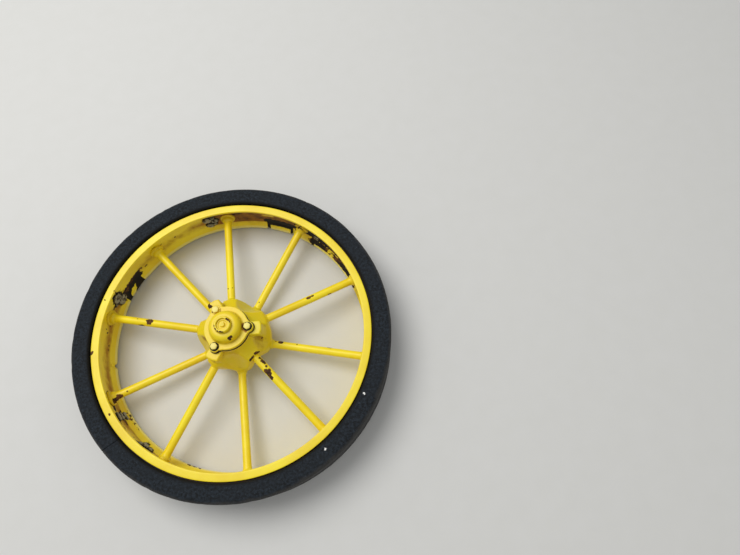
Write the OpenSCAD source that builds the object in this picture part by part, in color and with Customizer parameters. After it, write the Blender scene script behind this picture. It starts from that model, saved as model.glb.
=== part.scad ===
// Front wheel of a vintage tractor: solid rubber tyre, rolled steel channel rim,
// round spokes in two rows, cast hub with a bolted cap and two taper roller bearings.
// The wheel lies on the back face of its tyre with its axis along Z and the cap up.

/* [Tyre] */
// Thickness of the rubber from the base band to the tread
tyre_t = 37; // [25:1:55]
// Width of the tyre, which is also its height as it lies
tyre_w = 100; // [94:1:120]
// Radius of the worn outer edges of the tyre
tyre_edge_r = 9; // [3:0.5:12]
// Radius of the edges of the rubber beside the rim
tyre_bead_r = 2; // [0.5:0.5:4]
// Thickness of the steel base band under the rubber
band_t = 3; // [2:0.5:5]
// Width of the steel base band
band_w = 76; // [60:1:86]

/* [Rim] */
// Outer diameter of the rim
rim_od = 560; // [550:1:570]
// Width of the rim
rim_w = 90; // [86:1:92]
// Thickness of the rolled channel
rim_t = 5; // [3:0.5:6]
// Radial width of the front and back flanges
flange_h = 14; // [11:0.5:18]
// Width of the bevel between web and flange
rim_bevel_w = 15; // [8:0.5:18]

/* [Spokes] */
// Number of spokes, half of them in each row
spoke_n = 10; // [8:2:12]
// Diameter of the round spokes
spoke_d = 16; // [13:0.5:18]
// Diameter of the riveted tenon in the rim
tenon_d = 12; // [9:0.5:13]
// Diameter of the round shoulder at the rim
collar_d = 24; // [20:0.5:28]
// Height of the round shoulder at the rim
collar_h = 9; // [5:0.5:14]
// Diameter of the flat ring under the shoulder
washer_d = 32; // [29:0.5:38]
// Height of the flat ring under the shoulder
washer_h = 3.5; // [2:0.5:5]

/* [Hub] */
// Radius of the lobes round the spoke roots
lobe_r = 73; // [70:0.5:80]
// How much narrower the lobes are at the rear than at their middle
lobe_draft = 5; // [0:0.5:7]
// Radius of the front neck and of the rear collar
neck_r = 48; // [47:0.5:50]
// Distance of the front face from the middle of the rim's width
hub_front = 72; // [68:1:76]
// Distance of the rear face from the middle of the rim's width
hub_rear = 46; // [44:0.5:47]
// Distance of the front row of spoke roots from the middle of the rim's width
row_front = 24; // [20:0.5:28]
// Distance of the rear row of spoke roots from the middle of the rim's width
row_rear = 22; // [18:0.5:24]
// Radius from the axis to the inner ends of the spokes
root_r = 50; // [48:0.5:54]

/* [Cap] */
// Radius of the round cap flange
cap_r = 43; // [41:0.5:46]
// Thickness of the cap flange
cap_flange_t = 8; // [5:0.5:10]
// Outer radius of the domed cap
dome_r = 31; // [30.5:0.5:33]
// Height of the dome above its flange
dome_h = 19.5; // [16:0.5:26]
// Height of the round boss above the dome
boss_h = 9; // [6:0.5:12]
// Thickness of the gasket under the cap
gasket_t = 1.5; // [1:0.5:3]
// Radius of the cap bolt circle
bolt_circle_r = 41.7; // [40:0.1:42.5]
// Width across the flats of the bolt heads
bolt_af = 12.7; // [11:0.1:14]

/* [Bearings] */
// Bore radius of the rear bearing
rear_bore_r = 17.46; // [15:0.01:18]
// Outer radius of the rear bearing cup
rear_cup_r = 32.55; // [31:0.05:33]
// Bore radius of the front bearing
front_bore_r = 9.53; // [8:0.01:11]
// Outer radius of the front bearing cup
front_cup_r = 22.6; // [22:0.05:24]
// Number of rollers in the rear bearing
rear_rollers_n = 16; // [12:1:18]
// Number of rollers in the front bearing
front_rollers_n = 14; // [10:1:14]

/* [Hidden] */
$fn = 96;

enamel = "gold";
rubber = [0.13, 0.14, 0.16];
steel = "silver";

mid_z = tyre_w / 2;
rim_r = rim_od / 2;
web_r = rim_r - rim_t;
band_r = rim_r + band_t;
tyre_r = band_r + tyre_t;
hub_top = mid_z + hub_front;
hub_bottom = mid_z - hub_rear;
spoke_reach = web_r - root_r;
spoke_step = 360 / spoke_n;
first_spoke = 90;
first_bolt = 114;
cut = 1;

function spoke_angle(i) = first_spoke - spoke_step * i;
function row_z(i) = mid_z + (i % 2 == 0 ? row_front : -row_rear);
function spoke_tilt(i) = atan((mid_z - row_z(i)) / spoke_reach);

// A square with its four corners rounded, used as the section of a ring
module soft_square(x0, z0, w, h, r) {
  translate([x0 + r, z0]) square([w - 2 * r, h]);
  translate([x0, z0 + r]) square([w, h - 2 * r]);
  for (x = [x0 + r, x0 + w - r], z = [z0 + r, z0 + h - r])
    translate([x, z]) circle(r);
}

// A solid turned about the wheel axis with a rounded upper edge
module soft_disc(r, z0, h, edge) {
  rotate_extrude() {
    translate([0, z0]) square([r, h - edge]);
    translate([0, z0]) square([r - edge, h]);
    translate([r - edge, z0 + h - edge]) intersection() {
      circle(edge);
      square(edge);
    }
  }
}

// Places its children on the axis of spoke i, with local X running outwards from the root
module on_spoke(i) {
  rotate([0, 0, spoke_angle(i)])
    translate([root_r, 0, row_z(i)])
      rotate([0, -spoke_tilt(i), 0]) children();
}

// A round bar along local X, which may taper from r0 to r1
module bar_x(x0, x1, r0, r1) {
  translate([x0, 0, 0]) rotate([0, 90, 0]) cylinder(r1 = r0, r2 = r1, h = x1 - x0);
}

// Tyre and rim

module tyre() {
  tread_depth = 2 * tyre_edge_r + 1;
  color(rubber) rotate_extrude() {
    intersection() {
      soft_square(band_r, 0, tyre_t, tyre_w, tyre_bead_r);
      square([tyre_r - tyre_edge_r, tyre_w]);
    }
    soft_square(tyre_r - tread_depth, 0, tread_depth, tyre_w, tyre_edge_r);
  }
}

module tyre_band() {
  color("dimgray") rotate_extrude()
    translate([rim_r, mid_z - band_w / 2]) square([band_t, band_w]);
}

// Radius and distance from mid-width of the rim's section, from web to flange and back
RIM_HALF = [
  [rim_r, rim_w / 2 - 2], [rim_r - 2, rim_w / 2], [rim_r - flange_h, rim_w / 2],
  [rim_r - flange_h, rim_w / 2 - rim_t], [web_r, rim_w / 2 - rim_t - rim_bevel_w]
];
RIM_SECTION = concat(
  [for (p = RIM_HALF) [p[0], mid_z + p[1]]],
  [for (k = [len(RIM_HALF) - 1 : -1 : 0]) [RIM_HALF[k][0], mid_z - RIM_HALF[k][1]]]
);

// Angle, height above the rim's back face and radius of the bites that rust took out of the flange
RUST_BITES = [[141, 0, 9], [143.4, 2, 8], [146, 0, 9], [148.7, 1, 9]];
// Angle and width of the narrow breaks across the back flange
RUST_BREAKS = [[71.5, 5.5], [60.2, 4]];
// Thickness of the flange's root that the bites and breaks leave
rust_left = 3;
break_h = 12;

module rim() {
  back_z = mid_z - rim_w / 2;
  bite_x = rim_r - flange_h - cut;
  bite_depth = flange_h + cut - rust_left;
  color(enamel) difference() {
    rotate_extrude() polygon(RIM_SECTION);
    for (i = [0 : spoke_n - 1])
      on_spoke(i) bar_x(spoke_reach * 0.9, spoke_reach * 1.2, tenon_d / 2, tenon_d / 2);
    for (b = RUST_BITES)
      rotate([0, 0, b[0]]) translate([bite_x, 0, back_z + b[1]]) rotate([0, 90, 0])
        cylinder(r = b[2], h = bite_depth);
    for (b = RUST_BREAKS)
      rotate([0, 0, b[0]]) translate([bite_x, -b[1] / 2, back_z - cut])
        cube([bite_depth, b[1], break_h + cut]);
  }
}

// Angle, distance behind the middle of the rim's width and radius of each lump of plug weld
WELD_LUMPS = [
  [98.9, -8, 8], [98.6, 11, 7.5], [95.8, -1, 7],
  [152.7, -7, 9], [152.2, 12, 9],
  [-154.9, 4, 5.5], [-153.2, 13, 5.5], [-151.8, 22, 5.5],
  [-139.2, 8, 6], [-138.3, 17, 5.5],
  [45.4, 3, 6.5], [46.2, 13, 5.5],
  [-42.6, 1, 7], [-41, -3, 6]
];
// Height that the lumps rise above the rim, and how far they stay clear of it
weld_h = 6;
weld_gap = 0.3;
// Share of a lump's radius that its flat top keeps
weld_top = 0.5;

module rim_welds() {
  inside = [for (p = RIM_HALF) if (p[1] <= rim_w / 2 - rim_t) [p[0] - weld_gap, p[1]]];
  color("dimgray") intersection() {
    rotate_extrude() translate([0, mid_z]) polygon(concat(
      [[0, -inside[0][1]], [inside[0][0], -inside[0][1]], [inside[1][0], -inside[1][1]]],
      [[inside[1][0], inside[1][1]], [inside[0][0], inside[0][1]], [0, inside[0][1]]]
    ));
    for (l = WELD_LUMPS)
      rotate([0, 0, l[0]]) translate([rim_r, 0, mid_z - l[1]]) rotate([0, -90, 0])
        cylinder(r1 = l[2], r2 = l[2] * weld_top, h = rim_t + weld_h);
  }
}

// Spokes

// Length of the flare from the bar to the shoulder, and of the shoulder's own bevel
flare_l = 3;
collar_bevel = 1.5;

module spoke(i) {
  far = spoke_reach * 1.2;
  collar_x = spoke_reach - collar_h;
  washer_x = spoke_reach - washer_h;
  bar_r = spoke_d / 2;
  collar_r = collar_d / 2;
  color(enamel) {
    intersection() {
      on_spoke(i) {
        bar_x(0, far, bar_r, bar_r);
        bar_x(collar_x - flare_l, collar_x, bar_r, collar_r - collar_bevel);
        bar_x(collar_x, collar_x + collar_bevel, collar_r - collar_bevel, collar_r);
        bar_x(collar_x + collar_bevel, far, collar_r, collar_r);
        bar_x(washer_x, far, washer_d / 2, washer_d / 2);
      }
      cylinder(r = web_r, h = tyre_w);
    }
    intersection() {
      on_spoke(i) bar_x(spoke_reach * 0.8, far, tenon_d / 2, tenon_d / 2);
      cylinder(r = rim_r, h = tyre_w);
    }
  }
}

// Hub

// Radius of the shoulder between the lobes and the front, its height from the rim's middle, and
// the height at which the lobes start to narrow towards the rear
shoulder_r = 9;
shoulder_z = 30;
draft_z = 8;
tail_r = lobe_r - lobe_draft;
// Radius and distance from the rim's middle of the corners of the bell that is turned for the hub
HUB_BELL = concat(
  [[0, -39], [neck_r - 4, -39], [tail_r - 8, -37], [tail_r - 2.5, -34.5], [tail_r, -29]],
  [[lobe_r, draft_z]],
  [for (a = [0 : 15 : 45])
    [lobe_r - shoulder_r + shoulder_r * cos(a), shoulder_z + shoulder_r * sin(a)]],
  [[neck_r + 4, 54], [neck_r, 58], [neck_r - 4, 64], [0, 64]]
);
facet_r = 60;
facet_l = 260;
// Upper and lower ends of the facets' middle lines, as distances from the rim's middle
REAR_FACET = [-52, 6];
FRONT_FACET = [54, -4];

// A dished facet whose middle line runs from the neck's radius at z[0] to the lobes' at z[1]
module facet_cutter(z) {
  lean = atan((lobe_r - neck_r) / (z[1] - z[0]));
  translate([neck_r + facet_r * cos(lean), 0, mid_z + z[0] - facet_r * sin(lean)])
    rotate([0, lean, 0]) cylinder(r = facet_r, h = facet_l, center = true);
}

// Width, radial reach, corner radius and depth of the pads under the cap's ears
pad_w = 23;
pad_out = 66;
pad_corner_r = 6;
pad_depth = 66;
// Width of the front face that shows round the cap
face_w = 1;
rear_collar_h = 36;

// Outline of the front face: the round neck and the three pads under the cap's ears
module front_outline() {
  circle(cap_r + face_w);
  for (k = [0 : 2]) rotate(first_bolt + 120 * k) {
    translate([0, -pad_w / 2]) square([pad_out - pad_corner_r, pad_w]);
    translate([0, pad_corner_r - pad_w / 2]) square([pad_out, pad_w - 2 * pad_corner_r]);
    for (y = [-1, 1]) translate([pad_out - pad_corner_r, y * (pad_w / 2 - pad_corner_r)])
      circle(pad_corner_r);
  }
}

module hub_body() {
  difference() {
    translate([0, 0, mid_z]) rotate_extrude() polygon(HUB_BELL);
    for (i = [0 : spoke_n - 1]) rotate([0, 0, spoke_angle(i)])
      facet_cutter(i % 2 == 0 ? REAR_FACET : FRONT_FACET);
  }
  translate([0, 0, hub_bottom]) cylinder(r = neck_r, h = rear_collar_h);
  translate([0, 0, hub_top - pad_depth]) linear_extrude(pad_depth) front_outline();
}

// Seats of the seal and bearings, measured from the hub's rear and front faces
seal_seat_r = 36;
seal_seat_h = 9;
rear_cup_z = hub_bottom + seal_seat_h + 1;
rear_cup_w = 14;
front_cup_w = 12;
front_land = 8;
front_cup_z = hub_top - front_land - front_cup_w;
cup_step = 3;
cavity_wall = 8;
grease_r = 27;
bolt_r = 4;
bolt_depth = 18;

module hub() {
  rear_seat_top = rear_cup_z + rear_cup_w;
  cavity_top = front_cup_z - cavity_wall;
  color(enamel) difference() {
    hub_body();
    for (i = [0 : spoke_n - 1]) on_spoke(i) bar_x(0, lobe_r, spoke_d / 2, spoke_d / 2);
    translate([0, 0, hub_bottom - cut]) cylinder(r = seal_seat_r, h = seal_seat_h + cut);
    translate([0, 0, hub_bottom]) cylinder(r = rear_cup_r, h = rear_seat_top - hub_bottom);
    translate([0, 0, rear_cup_z]) cylinder(r = grease_r, h = cavity_top - rear_cup_z);
    translate([0, 0, cavity_top - cut])
      cylinder(r = front_cup_r - cup_step, h = cavity_wall + 2 * cut);
    translate([0, 0, front_cup_z]) cylinder(r = front_cup_r, h = front_cup_w + cut);
    translate([0, 0, front_cup_z + front_cup_w]) cylinder(r = grease_r, h = hub_top);
    for (k = [0 : 2]) rotate([0, 0, first_bolt + 120 * k])
      translate([bolt_circle_r, 0, hub_top - bolt_depth]) cylinder(r = bolt_r, h = bolt_depth + cut);
  }
}

// Cap

cap_z = hub_top + gasket_t;
dome_z = cap_z + cap_flange_t;
dome_top = dome_z + dome_h;
boss_top = dome_top + boss_h;
dome_edge_r = 11;
boss_r = 16;
boss_edge_r = 1.5;
plug_r = 11.5;
plug_depth = 9;
ear_r = 10.5;
// Half width of an ear where it leaves the round flange, slope of its sides and depth of their
// ends in the round end of the ear
ear_root = 16;
ear_lean = 30;
ear_lap = 1.5;
hole_gap = 0.4;
cap_wall = 4;

// Outline of the flange with its three ears
module ear_outline(r) {
  reach = ear_r - ear_lap;
  side_x = bolt_circle_r + reach * sin(ear_lean);
  side_y = reach * cos(ear_lean);
  circle(r);
  for (k = [0 : 2]) rotate(first_bolt + 120 * k) {
    translate([bolt_circle_r, 0]) circle(ear_r);
    polygon([
      [0, -ear_root], [r - 3, -ear_root], [side_x, -side_y],
      [side_x, side_y], [r - 3, ear_root], [0, ear_root]
    ]);
  }
}

module bolt_holes(z0, h) {
  for (k = [0 : 2]) rotate([0, 0, first_bolt + 120 * k])
    translate([bolt_circle_r, 0, z0]) cylinder(r = bolt_r + hole_gap, h = h);
}

module hub_cap() {
  color(enamel) difference() {
    union() {
      translate([0, 0, cap_z]) linear_extrude(cap_flange_t) ear_outline(cap_r);
      soft_disc(dome_r, cap_z, cap_flange_t + dome_h, dome_edge_r);
      soft_disc(boss_r, dome_top - cap_wall / 2, boss_h + cap_wall / 2, boss_edge_r);
    }
    soft_disc(grease_r, cap_z - cut, dome_top - cap_z - cap_wall + cut, dome_edge_r - cap_wall + 1);
    translate([0, 0, boss_top - plug_depth]) cylinder(r = plug_r, h = plug_depth + cut);
    bolt_holes(cap_z - cut, cap_flange_t + 2 * cut);
  }
}

module cap_gasket() {
  color("black") difference() {
    translate([0, 0, hub_top]) linear_extrude(gasket_t) difference() {
      ear_outline(cap_r - 0.5);
      circle(grease_r);
    }
    bolt_holes(hub_top - cut, gasket_t + 2 * cut);
  }
}

// Sizes of the sunken plug, with a ring groove round its middle knob
plug_t = 5;
knob_r = 4.5;
knob_h = 2.5;
groove_r = 8.5;
groove_h = 1.5;

module cap_plug() {
  plug_z = boss_top - plug_depth;
  color(enamel) difference() {
    union() {
      translate([0, 0, plug_z]) cylinder(r = plug_r, h = plug_t);
      translate([0, 0, plug_z + plug_t]) cylinder(r = knob_r, h = knob_h);
    }
    translate([0, 0, plug_z + plug_t - groove_h]) difference() {
      cylinder(r = groove_r, h = groove_h + cut);
      cylinder(r = knob_r, h = groove_h + cut);
    }
  }
}

bolt_head_h = 6;
bolt_washer_d = bolt_af + 3;
bolt_washer_t = 1;
// Depth of the empty thread under a bolt's end
bolt_spare = 2;

module cap_bolt(k) {
  shank_z = hub_top - bolt_depth + bolt_spare;
  color(enamel) rotate([0, 0, first_bolt + 120 * (k - 1)]) translate([bolt_circle_r, 0, 0]) {
    translate([0, 0, shank_z]) cylinder(r = bolt_r, h = dome_z - shank_z + bolt_washer_t);
    translate([0, 0, dome_z]) cylinder(d = bolt_washer_d, h = bolt_washer_t);
    translate([0, 0, dome_z + bolt_washer_t])
      cylinder(d = bolt_af / cos(30), h = bolt_head_h, $fn = 6);
  }
}

// Bearings

// Slopes of the outer race, of the rollers' axes and of the inner race
race_angle = 12.5;
roller_lean = 10.75;
cone_angle = 9;
// Inner ring: its lead ahead of the outer ring, its large rib, and the small rib that keeps the
// rollers on
cone_lead = 3.5;
rib_h = 2.2;
rib_w = 2.8;
small_rib_h = 0.8;
small_rib_w = 2;
// Rollers: start above the large face, room kept free along the ring, taper and clearance
roller_z = 3.7;
roller_ends = 6.5;
roller_taper = 0.7;
roller_gap = 0.15;
// Cage: thickness, offset from the rollers' axes, clearance round a roller, and its two ends
cage_t = 1;
cage_out = 0.3;
cage_gap = 0.25;
cage_z = 1;
cage_end = 1.5;

function small_race(race, w) = race - (w - rib_w - small_rib_w) * tan(cone_angle);

// Outer ring, large end at local z = 0, opening towards local -z
module cup(r_out, r_large, w) {
  rotate_extrude() polygon([
    [r_large, 0], [r_out, 0], [r_out, w], [r_large - w * tan(race_angle), w]
  ]);
}

// Inner ring with its large rib at local z = 0
module cone(bore, race, w) {
  end_r = small_race(race, w);
  rotate_extrude() polygon([
    [bore, 0], [race + rib_h, 0], [race + rib_h, rib_w], [race, rib_w],
    [end_r, w - small_rib_w], [end_r + small_rib_h, w - small_rib_w],
    [end_r + small_rib_h, w], [bore, w]
  ]);
}

// The rollers of one bearing, or the room round them if grow is above 0
module rollers(n, race, w, d, grow) {
  for (k = [0 : n - 1]) rotate([0, 0, 360 / n * k])
    translate([race + d / 2 + roller_gap, 0, roller_z]) rotate([0, -roller_lean, 0])
      translate([0, 0, -grow]) cylinder(
        d1 = d + 2 * grow, d2 = d - roller_taper + 2 * grow, h = w - roller_ends + 2 * grow
      );
}

// Pressed cage with one window for each roller and an inward lip at its small end
module cage(n, race, w, d) {
  end_z = w - cage_end;
  start_r = race + d / 2 + roller_gap + cage_out + (roller_z - cage_z) * tan(roller_lean);
  end_r = start_r - (end_z - cage_z) * tan(roller_lean);
  lip_r = small_race(race, w) + small_rib_h + cage_t / 2;
  difference() {
    rotate_extrude() polygon([
      [start_r, cage_z], [start_r + cage_t, cage_z], [end_r + cage_t, end_z], [lip_r, end_z],
      [lip_r, end_z - cage_t], [end_r + cage_t * tan(roller_lean), end_z - cage_t]
    ]);
    rollers(n, race, w, d, cage_gap);
  }
}

rear_cone_w = 17.5;
rear_cone_z = rear_cup_z - cone_lead;
rear_race = 21.3;
rear_cup_race = 28.1;
rear_roller_d = 6.2;
front_cone_w = 15;
front_cone_z = front_cup_z + front_cup_w + cone_lead;
front_race = 13;
front_cup_race = 18.8;
front_roller_d = 5.2;

module rear_cup() {
  color(steel) translate([0, 0, rear_cup_z]) cup(rear_cup_r, rear_cup_race, rear_cup_w);
}

module front_cup() {
  color(steel) translate([0, 0, front_cup_z + front_cup_w]) mirror([0, 0, 1])
    cup(front_cup_r, front_cup_race, front_cup_w);
}

module rear_cone() {
  color(steel) translate([0, 0, rear_cone_z]) cone(rear_bore_r, rear_race, rear_cone_w);
}

module rear_rollers() {
  color(steel) translate([0, 0, rear_cone_z])
    rollers(rear_rollers_n, rear_race, rear_cone_w, rear_roller_d, 0);
}

module rear_cage() {
  color(steel) translate([0, 0, rear_cone_z])
    cage(rear_rollers_n, rear_race, rear_cone_w, rear_roller_d);
}

module front_cone() {
  color(steel) translate([0, 0, front_cone_z]) mirror([0, 0, 1])
    cone(front_bore_r, front_race, front_cone_w);
}

module front_rollers() {
  color(steel) translate([0, 0, front_cone_z]) mirror([0, 0, 1])
    rollers(front_rollers_n, front_race, front_cone_w, front_roller_d, 0);
}

module front_cage() {
  color(steel) translate([0, 0, front_cone_z]) mirror([0, 0, 1])
    cage(front_rollers_n, front_race, front_cone_w, front_roller_d);
}

// Radius and height above the hub's rear face of the seal's section, with its lip to the spindle
SEAL_SECTION = [
  [20.5, 2.2], [23.5, 0.5], [seal_seat_r, 0.5], [seal_seat_r, 5.5], [27, 5.5], [25, 3.4], [21, 3.2]
];

module dust_seal() {
  color("gray") translate([0, 0, hub_bottom]) rotate_extrude() polygon(SEAL_SECTION);
}

tyre();
tyre_band();
rim();
rim_welds();
spoke(0);  // spoke_01
spoke(1);  // spoke_02
spoke(2);  // spoke_03
spoke(3);  // spoke_04
spoke(4);  // spoke_05
spoke(5);  // spoke_06
spoke(6);  // spoke_07
spoke(7);  // spoke_08
spoke(8);  // spoke_09
spoke(9);  // spoke_10
hub();
hub_cap();
cap_gasket();
cap_plug();
cap_bolt(1);  // cap_bolt_1
cap_bolt(2);  // cap_bolt_2
cap_bolt(3);  // cap_bolt_3
rear_cup();
front_cup();
dust_seal();
rear_cone();
rear_rollers();
rear_cage();
front_cone();
front_rollers();
front_cage();
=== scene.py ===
"""Front wheel of a vintage tractor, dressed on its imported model: solid rubber tyre, rolled steel
rim, round spokes and a cast hub under worn yellow enamel, with its bolted cap and bearings."""

import functools
import math
import random

import bmesh
import bpy
import numpy as np
from bpy.props import FloatProperty, FloatVectorProperty, PointerProperty, StringProperty
from mathutils import Matrix, Vector, noise


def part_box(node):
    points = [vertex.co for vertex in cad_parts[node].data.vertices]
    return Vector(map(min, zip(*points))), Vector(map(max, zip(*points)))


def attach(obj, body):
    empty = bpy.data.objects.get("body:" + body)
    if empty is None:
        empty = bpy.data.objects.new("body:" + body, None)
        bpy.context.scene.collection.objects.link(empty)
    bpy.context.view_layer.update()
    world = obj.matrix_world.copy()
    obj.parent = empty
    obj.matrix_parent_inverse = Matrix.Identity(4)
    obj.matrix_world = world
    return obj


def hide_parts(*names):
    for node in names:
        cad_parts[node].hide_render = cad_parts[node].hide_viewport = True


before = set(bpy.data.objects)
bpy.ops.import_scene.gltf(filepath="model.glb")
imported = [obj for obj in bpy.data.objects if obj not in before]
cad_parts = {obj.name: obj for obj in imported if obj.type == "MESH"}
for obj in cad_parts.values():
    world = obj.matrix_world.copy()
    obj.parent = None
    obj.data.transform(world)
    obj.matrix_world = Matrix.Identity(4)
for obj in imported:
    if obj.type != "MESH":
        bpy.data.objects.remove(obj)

bl_info = {
    "name": "Vintage tractor front wheel",
    "version": (1, 0, 0),
    "blender": (4, 5, 0),
    "location": "3D View > Sidebar > Wheel",
    "description": "Builds and finishes each piece of a worn enamelled front wheel",
    "category": "Add Mesh",
}

TAU = 2 * math.pi
MM = 0.001
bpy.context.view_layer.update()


def linear(code):
    """An sRGB hex colour such as "#E8D23A" as linear red, green and blue."""
    parts = [int(code[k:k + 2], 16) / 255 for k in (1, 3, 5)]
    return tuple(c / 12.92 if c <= 0.04045 else ((c + 0.055) / 1.055) ** 2.4 for c in parts)


# Measures of places

def rise(value, low, high):
    """0 at low and before it, 1 at high and past it, and straight between them."""
    return np.clip((value - low) / (high - low), 0, 1)


def peak(offset, reach):
    """1 where the offset is 0, falling straight to 0 at the reach on either side."""
    return np.clip(1 - np.abs(offset) / reach, 0, 1)


def rounded_off(share):
    """The share from 0 to 1 with soft ends."""
    return share * share * (3 - 2 * share)


def polar(places):
    """Each place's distance from the axis, and its angle round it in degrees from 0 to 360."""
    x, y = places[:, 0], places[:, 1]
    return np.hypot(x, y), np.degrees(np.arctan2(y, x)) % 360


def round_axis(angle, radius, height):
    """The places at each angle in radians, radius and height."""
    return np.stack([radius * np.cos(angle), radius * np.sin(angle), height], -1)


def past_stretch(degrees, first, last):
    """How many degrees a place lies outside the stretch from first to last, negative inside it."""
    return np.abs((degrees - (first + last) / 2 + 180) % 360 - 180) - (last - first) / 2


def waves(places, size, seed=0):
    """Smooth noise from about -1 to 1 at each place, with bumps about size metres wide."""
    shift = Vector((7.1, 3.7, 5.3)) * seed
    flat = places.reshape(-1, 3).tolist()
    return np.reshape([noise.noise(Vector(p) / size + shift) for p in flat], places.shape[:-1])


def nearness(places, spots):
    """How near each place is to a spot: 1 in its middle, 0.5 at its radius and 0 at twice that.
    A spot is a line from one place to another in mm, with its radius in mm and its strength."""
    most = np.zeros(len(places))
    for start, end, radius, strength in spots:
        start = np.array(start) * MM
        along = np.array(end) * MM - start
        t = np.clip((places - start) @ along / max(along @ along, 1e-12), 0, 1)
        away = np.linalg.norm(places - start - t[:, None] * along, axis=1)
        most = np.maximum(most, strength * peak(away, 2 * radius * MM))
    return most


def on_rim(angle, radius, height):
    """A place from its angle in degrees, and its radius and height, in the unit of those two."""
    turn = math.radians(angle)
    return (radius * math.cos(turn), radius * math.sin(turn), height)


def marks(rows):
    """Spots from rows of angle, radius and height of a line's two ends, half width and strength."""
    return [(on_rim(*row[:3]), on_rim(*row[3:6]), *row[6:]) for row in rows]


def stretches(rows):
    """Spots from rows of first and last angle, radius, height, half width and strength. Each
    stretch follows the ring in short straight lines."""
    spots = []
    for first, last, radius, height, *rest in rows:
        count = max(1, math.ceil(abs(last - first) / 3))
        steps = [first + (last - first) * k / count for k in range(count + 1)]
        spots += marks([(a, radius, height, b, radius, height, *rest)
                        for a, b in zip(steps, steps[1:])])
    return spots


# Meshes

def rounded(corners, steps=5):
    """The outline through (radius, height, fillet) corners, counterclockwise, with its fillets."""
    points = []
    count = len(corners)
    for k in range(count):
        here = Vector(corners[k][:2])
        fillet = corners[k][2]
        back = (Vector(corners[k - 1][:2]) - here).normalized()
        ahead = (Vector(corners[(k + 1) % count][:2]) - here).normalized()
        half = back.angle(ahead) / 2
        reach = fillet / math.tan(half)
        start = here + back * reach
        end = here + ahead * reach
        middle = here + (back + ahead).normalized() * (fillet / math.sin(half))
        first = math.atan2(*(start - middle).yx)
        turn = math.remainder(math.atan2(*(end - middle).yx) - first, TAU)
        for s in range(steps + 1):
            angle = first + turn * s / steps
            points.append(middle + fillet * Vector((math.cos(angle), math.sin(angle))))
    return points


def spaced(points, step):
    """The same closed outline with no stretch longer than step."""
    out = []
    for k, here in enumerate(points):
        ahead = points[(k + 1) % len(points)]
        parts = max(1, math.ceil((ahead - here).length / step))
        out += [here.lerp(ahead, s / parts) for s in range(parts)]
    return out


def grid_faces(rows, columns, close_rows=True):
    """Quads of a grid of rows by columns of points. Each row closes on itself, and the last row
    joins the first unless close_rows is off."""
    i, j = np.meshgrid(np.arange(rows if close_rows else rows - 1), np.arange(columns),
                       indexing="ij")
    i2 = (i + 1) % rows
    j2 = (j + 1) % columns
    quads = [i * columns + j, i2 * columns + j, i2 * columns + j2, i * columns + j2]
    return np.stack(quads, -1).reshape(-1, 4).tolist()


def new_mesh(name, points, faces, smooth=True):
    """A mesh in the wheel's frame."""
    mesh = bpy.data.meshes.new(name)
    mesh.from_pydata([tuple(p) for p in points], [], faces)
    mesh.validate()
    if smooth:
        mesh.shade_smooth()
    return mesh


def mesh_from(name, made):
    """A mesh of what was made in the bmesh, which is freed."""
    mesh = bpy.data.meshes.new(name)
    made.to_mesh(mesh)
    made.free()
    return mesh


def placed(name, data):
    """An object with the given mesh, lamp or camera, linked to the scene."""
    made = bpy.data.objects.new(name, data)
    bpy.context.scene.collection.objects.link(made)
    return made


def turns(count, *dense):
    """Angles round a ring in radians, with more of them in each dense stretch of degrees."""
    extra = [np.radians(np.arange(first, last, step)) for first, last, step in dense]
    return np.unique(np.round(np.concatenate([np.arange(count) * TAU / count, *extra]) % TAU, 6))


def ring(name, outline, angles, shape):
    """A ring turned about the wheel's axis from a closed outline of (radius, height) points, which
    the shape function then moves at each angle."""
    section = np.array([tuple(p) for p in outline])
    angle, k = np.meshgrid(angles, np.arange(len(section)), indexing="ij")
    radius, height = shape(angle, section[k, 0], section[k, 1])
    points = round_axis(angle, radius, height).reshape(-1, 3)
    faces = grid_faces(len(angles), len(section))
    return placed(name, new_mesh(name, points.tolist(), faces))


def bar(name, rings, side, up, around):
    """The mesh of a closed round bar through rings, each with its middle and its radius."""
    angles = [TAU * k / around for k in range(around)]
    points = [middle + (side * math.cos(angle) + up * math.sin(angle)) * wide
              for middle, wide in rings for angle in angles]
    faces = grid_faces(len(rings), around, close_rows=False)
    faces.append(list(range(around)))
    faces.append([len(points) - 1 - k for k in range(around)])
    return new_mesh(name, points, faces)


def vertex_values(piece, name):
    """Each vertex's place, or its normal, as an array."""
    out = np.empty(len(piece.data.vertices) * 3)
    piece.data.vertices.foreach_get(name, out)
    return out.reshape(-1, 3)


def points_of(piece):
    """Each vertex's place as an array."""
    return vertex_values(piece, "co")


def normals_of(piece):
    """Each vertex's normal as an array."""
    return vertex_values(piece, "normal")


def move_points(piece, places):
    """Puts each vertex at its new place."""
    piece.data.vertices.foreach_set("co", np.asarray(places).ravel())
    piece.data.update()


def push(piece, distance):
    """Moves each vertex along its normal by its distance in metres."""
    move_points(piece, points_of(piece) + normals_of(piece) * distance[:, None])


def relaxed(piece, places, share, passes):
    """The places after each has moved passes times towards its neighbours' middle by its share."""
    edges = np.empty(len(piece.data.edges) * 2, dtype=np.int64)
    piece.data.edges.foreach_get("vertices", edges)
    first, second = edges[0::2], edges[1::2]
    count = np.bincount(edges, minlength=len(places))[:, None]
    places = places.copy()
    for _ in range(passes):
        total = np.stack([
            np.bincount(first, places[second, axis], len(places))
            + np.bincount(second, places[first, axis], len(places))
            for axis in range(3)
        ], 1)
        places += (total / count - places) * share[:, None]
    return places


def hollows(piece, passes, depth):
    """How deep each vertex lies in a crease: 1 where filling it would lift it by depth metres."""
    places = points_of(piece)
    filled = relaxed(piece, places, np.full(len(places), 0.5), passes)
    return rise(((filled - places) * normals_of(piece)).sum(1), 0, depth)


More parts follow.
